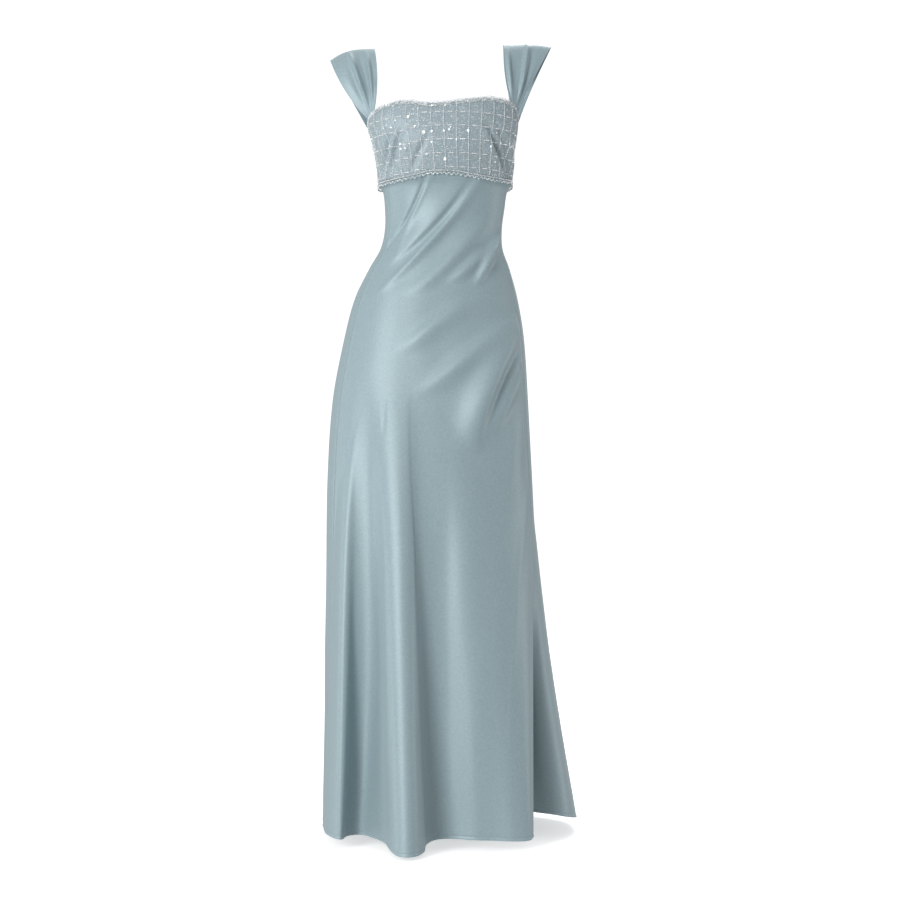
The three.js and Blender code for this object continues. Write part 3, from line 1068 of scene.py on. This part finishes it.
def angle_at(x, z):
    """The angle of the front point of the tube that has the given x at height z."""
    angles = np.arange(181, 359.25, 0.25)
    return float(np.interp(x, tube(angles, z)[:, 0], angles))


def angles_by_length(half, z, spacing, offset=0.0):
    """Angles of even steps along half of the tube at height z, with one at the offset from its middle."""
    angles = np.linspace(half["start"], half["end"], HALF_STEPS + 1)
    lengths = run_lengths(tube(angles, z))
    middle = np.interp(half["middle"], angles, lengths) + offset
    first = math.ceil(-middle / spacing)
    last = math.floor((lengths[-1] - middle) / spacing)
    return np.interp(middle + np.arange(first, last + 1) * spacing, lengths, angles)


class GOWN_OT_skirt(bpy.types.Operator):
    """Lay the two satin panels of the skirt, with their drag folds"""

    bl_idname = "gown.skirt"
    bl_label = "Skirt Panels"

    def execute(self, context):
        cloth = context.scene.gown_cloth
        satin = satin_material(cloth)
        spans = [np.linspace(start, end, rows)[:-1] for start, end, rows in SKIRT_ROWS]
        down = np.append(np.concatenate(spans), 1)
        for half, lines, folds, columns, flat, area, seed in PANELS:
            across = np.linspace(0, 1, columns)
            points = skirt_points(lines, across, down)
            normals = outward(points)
            height = fold_height(folds, points) + ripple(points, seed)
            height = height * edge_fade(across) + sewn_edges(points, cloth.hem_depth / MM)
            points = points + normals * height[..., None]
            piece = cloth_from_grid(f"skirt_{half}_satin", points, cloth.satin_wall)
            finish_piece(piece, satin, "satin", f"skirt_{half}")
        return {"FINISHED"}


class GOWN_OT_straps(bpy.types.Operator):
    """Lay the two gathered cap straps"""

    bl_idname = "gown.straps"
    bl_label = "Cap Straps"

    def execute(self, context):
        cloth = context.scene.gown_cloth
        satin = bpy.data.materials["polyester_satin"]
        across, along = (np.linspace(0, 1, count) for count in STRAP_GRID)
        for name, strap in STRAPS.items():
            points = strap_points(strap, across, along)
            on_left = strap["crest"][0][0] < 0
            normals = outward(points) * (-1 if on_left else 1)
            points = points + normals * gather_height(strap["gathers"], across, along)[..., None]
            piece = cloth_from_grid(f"{name}_satin", points, cloth.satin_wall, flip=on_left)
            finish_piece(piece, satin, "satin", name)
        return {"FINISHED"}


class GOWN_OT_band(bpy.types.Operator):
    """Lay the two halves of the bust band"""

    bl_idname = "gown.band"
    bl_label = "Bust Band"

    def execute(self, context):
        cloth = context.scene.gown_cloth
        net = net_material(cloth)
        across, down = (np.linspace(0, 1, count) for count in BAND_GRID)
        for half, shape in HALVES.items():
            points = band_points(shape["start"], shape["end"], across, down)
            normals = outward(points)
            height = fold_height(shape["folds"], points) * edge_fade(across)
            points = points + normals * height[..., None]
            piece = cloth_from_grid(f"band_{half}_net", points, cloth.band_wall)
            finish_piece(piece, net, "beaded_net", f"band_{half}")
        return {"FINISHED"}


class GOWN_OT_bead_grid(bpy.types.Operator):
    """String the upright bead lines and the dashes between them"""

    bl_idname = "gown.bead_grid"
    bl_label = "Bead Grid"

    def execute(self, context):
        beads = context.scene.gown_beads
        glass = bead_material("silver_lined_bugle_beads")
        length = beads.line_bead / MM
        upright = (LINE_WIDTH, length, LINE_WIDTH)
        dash = (length * DASH_STRETCH, DASH_WIDTH, DASH_WIDTH)
        spacing = beads.grid_across / MM
        for half, shape in HALVES.items():
            places = []
            lines = angles_by_length(shape, LINE_HEIGHT, spacing, LINE_SHIFT)
            for angle in lines:
                top = band_top(angle) - LINE_UNDER_TOP
                heights = np.arange(top, band_foot(angle) + LINE_OVER_FOOT, -length - LINE_GAP)
                places += self.beads(angle, heights, shape, upright)
            for row in BEAD_ROWS:
                for low, high in zip(lines, lines[1:]):
                    middle = (low + high) / 2
                    in_front = middle if middle > 180 else 360 - middle
                    z = row + float(column_at(ROW_SAG, "angle", "sag", in_front))
                    if not band_foot(middle) + ROW_OVER_FOOT < z < band_top(middle) - ROW_UNDER_TOP:
                        continue
                    angles = mix(low, high, np.array(DASH_SHARES))
                    places += self.beads(angles, z, shape, dash)
                    angles = mix(low, high, np.linspace(*FINE_ENDS, FINE_COUNT))
                    places += self.beads(angles, z, shape, FINE_BEAD)
            piece = string_of(f"bead_grid_{half}", "long", places)
            finish_piece(piece, glass, "beaded_net")
        return {"FINISHED"}

    def beads(self, angles, heights, shape, size):
        points, axes = band_frame(angles, heights, GRID_LIFT, shape["folds"])
        return bead_places(points, axes, np.array(size) * MM)


class GOWN_OT_sequins(bpy.types.Operator):
    """Sew the tiny beads all over the net, and the scattered sequins"""

    bl_idname = "gown.sequins"
    bl_label = "Seed Beads and Sequins"

    def execute(self, context):
        beads = context.scene.gown_beads
        seed_glass = bead_material("silver_seed_beads")
        foil = bead_material("silver_sequin_foil")
        chance = np.random.default_rng(7)
        for half, shape in HALVES.items():
            seeds = string_of(f"seed_beads_{half}", "round", self.seeds(shape, chance, beads.seed_bead))
            finish_piece(seeds, seed_glass, "beaded_net")
            bright = BRIGHT_SEQUINS if half == "front" else []
            places = self.scattered(shape, chance, beads.sequin, bright)
            finish_piece(string_of(f"sequins_{half}", "sequin", places), foil, "beaded_net")
        return {"FINISHED"}

    def seeds(self, shape, chance, size):
        """Places of seed beads, which lie closer together towards the sides and the foot."""
        angles = mix(shape["start"] + 1, shape["end"] - 1, chance.beta(0.75, 0.75, SEED_COUNT))
        share = chance.beta(1.0, 0.75, SEED_COUNT)
        heights = mix(band_top(angles) - SEED_UNDER_TOP, band_foot(angles) + SEED_OVER_FOOT, share)
        points, axes = band_frame(angles, heights, SEED_LIFT, shape["folds"])
        sizes = chance.uniform(*SEED_SIZES, SEED_COUNT) * size
        return bead_places(points, axes, sizes[:, None] * np.array((1, 1, SEED_FLATNESS)))

    def scattered(self, shape, chance, size, bright):
        """Places of sequins: most by chance and a little askew, and the bright ones turned to the light."""
        low = shape["start"] + SEQUIN_FROM_SIDE
        high = shape["end"] - SEQUIN_FROM_SIDE
        angles = chance.uniform(low, high, SEQUIN_COUNT)
        share = chance.uniform(0, 1, SEQUIN_COUNT)
        heights = mix(band_top(angles) - SEQUIN_UNDER_TOP, band_foot(angles) + SEQUIN_OVER_FOOT, share)
        sizes = chance.uniform(*SEQUIN_SIZES, SEQUIN_COUNT) * size
        angles = np.append(angles, [angle_at(row["x"], row["z"]) for row in bright])
        heights = np.append(heights, [row["z"] for row in bright])
        sizes = np.append(sizes, [row["size"] * MM for row in bright])
        points, axes = band_frame(angles, heights, SEQUIN_LIFT, shape["folds"])
        for index in range(len(points)):
            tilt = Matrix.Rotation(chance.uniform(-SEQUIN_TILT, SEQUIN_TILT), 3, "X")
            turn = Matrix.Rotation(chance.uniform(-SEQUIN_TILT, SEQUIN_TILT), 3, "Y")
            axes[index] = np.array(tilt @ turn) @ axes[index]
        axes[SEQUIN_COUNT:] = TOWARDS_LIGHT
        return bead_places(points, axes, sizes[:, None])


class GOWN_OT_edging(bpy.types.Operator):
    """Sew the picot edging on the band's top edge"""

    bl_idname = "gown.edging"
    bl_label = "Picot Edging"

    def execute(self, context):
        size = context.scene.gown_beads.edging_bead / MM
        glass = bead_material("pearl_edging_beads")
        chance = np.random.default_rng(11)
        for half, shape in HALVES.items():
            places = []
            for row, (drop, lift) in enumerate(EDGING_ROWS):
                angles = self.along_edge(shape, size * 1.1, drop, row * 0.5)
                heights = band_top(angles) - drop + chance.uniform(-0.5, 0.5, len(angles))
                points, axes = band_frame(angles, heights, lift, shape["folds"])
                scales = chance.uniform(*EDGING_SCALES, len(angles)) * size * MM
                places += bead_places(points, axes, scales[:, None])
            for offset, height, scale in PICOT_BEADS:
                angles = self.along_edge(shape, PICOT_STEP, 0, 0.5 + offset)
                heights = band_top(angles) + height + chance.uniform(-0.8, 0.8, len(angles))
                points, axes = band_frame(angles, heights, PICOT_LIFT, shape["folds"])
                places += bead_places(points, axes, size * scale * MM)
            piece = string_of(f"picot_edging_{half}", "round", places)
            finish_piece(piece, glass, "bead_edging", f"trim_top_{half}")
        return {"FINISHED"}

    def along_edge(self, shape, spacing, drop, offset):
        """Angles of beads in even steps along the band's top edge, at a drop under it."""
        angles = np.linspace(shape["start"], shape["end"], EDGE_STEPS + 1)
        lengths = run_lengths(tube(angles, band_top(angles) - drop))
        return np.interp(np.arange(offset * spacing, lengths[-1], spacing), lengths, angles)


class GOWN_OT_scallops(bpy.types.Operator):
    """Sew the bead cord and the hanging scallops under the band, with a line of dark grey beads over them as
    painted shadow
    """

    bl_idname = "gown.scallops"
    bl_label = "Scallop Edging"

    def execute(self, context):
        beads = context.scene.gown_beads
        size = beads.edging_bead / MM
        pitch = beads.scallop / MM
        glass = bpy.data.materials["pearl_edging_beads"]
        # Dark grey beads over the cord: a painted shadow line where the band's foot shades the edging
        thread = bead_material("painted_shadow_grey")
        chance = np.random.default_rng(13)
        for half, shape in HALVES.items():
            angles = angles_by_length(shape, FOOT_HEIGHT, SHADOW_LINE_STEP)
            places = self.hang(angles, -SHADOW_LINE_RISE, SHADOW_LINE_LIFT, np.array(SHADOW_LINE_BEAD) * MM)
            dark = string_of(f"painted_shadow_line_{half}", "long", places)
            finish_piece(dark, thread, "bead_edging")
            angles = angles_by_length(shape, FOOT_HEIGHT, size * CORD_STEP)
            places = self.hang(angles, -CORD_RISE, CORD_LIFT, size * MM)
            starts = angles_by_length(shape, FOOT_HEIGHT, pitch)
            shares = np.linspace(*SCALLOP_SHARES, SCALLOP_COUNT)
            for low, high in zip(starts, starts[1:]):
                drops = SCALLOP_START + chance.uniform(*SCALLOP_DEPTHS) * np.sin(math.pi * shares)
                places += self.hang(mix(low, high, shares), drops, SCALLOP_LIFT, SCALLOP_BEAD * MM)
            piece = string_of(f"scallop_edging_{half}", "round", places)
            finish_piece(piece, glass, "bead_edging", f"trim_under_{half}")
        return {"FINISHED"}

    def hang(self, angles, drop, lift, size):
        """Places of beads at a drop under the band's foot and a lift out from it, in millimetres."""
        points, axes = band_frame(angles, band_foot(angles), lift, [])
        points[:, 2] -= np.asarray(drop) * MM
        return bead_places(points, axes, size)


class GOWN_OT_stage(bpy.types.Operator):
    """Set the paper sweep, the soft lights and the camera"""

    bl_idname = "gown.stage"
    bl_label = "Stage"

    def execute(self, context):
        stage = context.scene.gown_stage
        self.sweep(cad_box[0][2] - stage.floor_drop)
        self.lights()
        self.camera(stage)
        world = bpy.data.worlds.new("studio_air")
        context.scene.world = world
        world.use_nodes = True
        background = world.node_tree.nodes["Background"]
        background.inputs["Color"].default_value = linear(AIR_COLOUR)
        background.inputs["Strength"].default_value = AIR_STRENGTH
        context.scene.view_settings.view_transform = "Standard"
        return {"FINISHED"}

    def sweep(self, floor):
        """A round sheet of paper that lies flat near the gown and turns up far from it on every side."""
        deselect_all()
        bpy.ops.mesh.primitive_circle_add(vertices=PAPER_SPOKES, radius=PAPER_START, fill_type="TRIFAN")
        sheet = take_new("paper_sweep")
        bpy.ops.object.mode_set(mode="EDIT")
        for ring in range(1, PAPER_RINGS + 1):
            bpy.ops.mesh.select_all(action="DESELECT")
            bpy.ops.mesh.select_non_manifold(extend=False)
            bpy.ops.mesh.extrude_edges_move()
            bpy.ops.transform.resize(value=(PAPER_STEP, PAPER_STEP, 1), center_override=(0, 0, 0))
            if PAPER_START * PAPER_STEP**ring > PAPER_FLAT + PAPER_BEND:
                break
        bpy.ops.object.mode_set(mode="OBJECT")
        for vertex in sheet.data.vertices:
            out = max(math.hypot(vertex.co.x, vertex.co.y) - PAPER_FLAT, 0)
            curve = PAPER_BEND - math.sqrt(PAPER_BEND**2 - min(out, PAPER_BEND) ** 2)
            vertex.co.z = floor + curve + max(out - PAPER_BEND, 0) * PAPER_SLOPE
        bpy.ops.object.shade_smooth()
        sheet.data.materials.append(paper_material())
        sheet.visible_diffuse = False
        sheet.visible_glossy = False
        sheet.visible_shadow = False

    def lights(self):
        for name, place, width, height, power in LAMPS:
            bpy.ops.object.light_add(type="AREA", location=place)
            lamp = bpy.context.object
            lamp.name = name
            lamp.data.shape = "ELLIPSE"
            lamp.data.size = width
            lamp.data.size_y = height
            lamp.data.energy = power
            lamp.visible_camera = False
            aim = Vector(LIGHTS_AIM) - Vector(place)
            lamp.rotation_euler = aim.to_track_quat("-Z", "Y").to_euler()

    def camera(self, stage):
        bpy.ops.object.camera_add(
            location=(CAMERA_X * MM, -stage.distance, stage.eye_height),
            rotation=(math.radians(90), 0, 0),
        )
        camera = bpy.context.object
        camera.name = "photo_camera"
        camera.data.lens = stage.lens
        camera.data.sensor_width = SENSOR_WIDTH
        camera.data.shift_y = FRAME_SHIFT
        camera.data.clip_end = VIEW_END
        bpy.context.scene.camera = camera


class GOWN_PT_panel(bpy.types.Panel):
    """Lists the gown's pieces, its stage and their sizes"""

    bl_label = "Gown"
    bl_idname = "GOWN_PT_panel"
    bl_space_type = "VIEW_3D"
    bl_region_type = "UI"
    bl_category = "Gown"

    def draw(self, context):
        for operator in OPERATORS:
            self.layout.operator(operator.bl_idname)
        for settings in (context.scene.gown_cloth, context.scene.gown_beads, context.scene.gown_stage):
            box = self.layout.box()
            for name in settings.__annotations__:
                box.prop(settings, name)


OPERATORS = (
    GOWN_OT_skirt,
    GOWN_OT_straps,
    GOWN_OT_band,
    GOWN_OT_bead_grid,
    GOWN_OT_sequins,
    GOWN_OT_edging,
    GOWN_OT_scallops,
    GOWN_OT_stage,
)
SETTINGS = {
    "gown_cloth": GownClothSettings,
    "gown_beads": GownBeadSettings,
    "gown_stage": GownStageSettings,
}


def register():
    for kind in (*SETTINGS.values(), *OPERATORS, GOWN_PT_panel):
        bpy.utils.register_class(kind)
    for name, kind in SETTINGS.items():
        setattr(bpy.types.Scene, name, bpy.props.PointerProperty(type=kind))


def unregister():
    for name in SETTINGS:
        delattr(bpy.types.Scene, name)
    for kind in reversed((*SETTINGS.values(), *OPERATORS, GOWN_PT_panel)):
        bpy.utils.unregister_class(kind)


def main():
    register()
    bpy.ops.gown.skirt()
    bpy.ops.gown.straps()
    bpy.ops.gown.band()
    bpy.ops.gown.bead_grid()
    bpy.ops.gown.sequins()
    bpy.ops.gown.edging()
    bpy.ops.gown.scallops()
    bpy.ops.gown.stage()


if __name__ == "__main__":
    main()
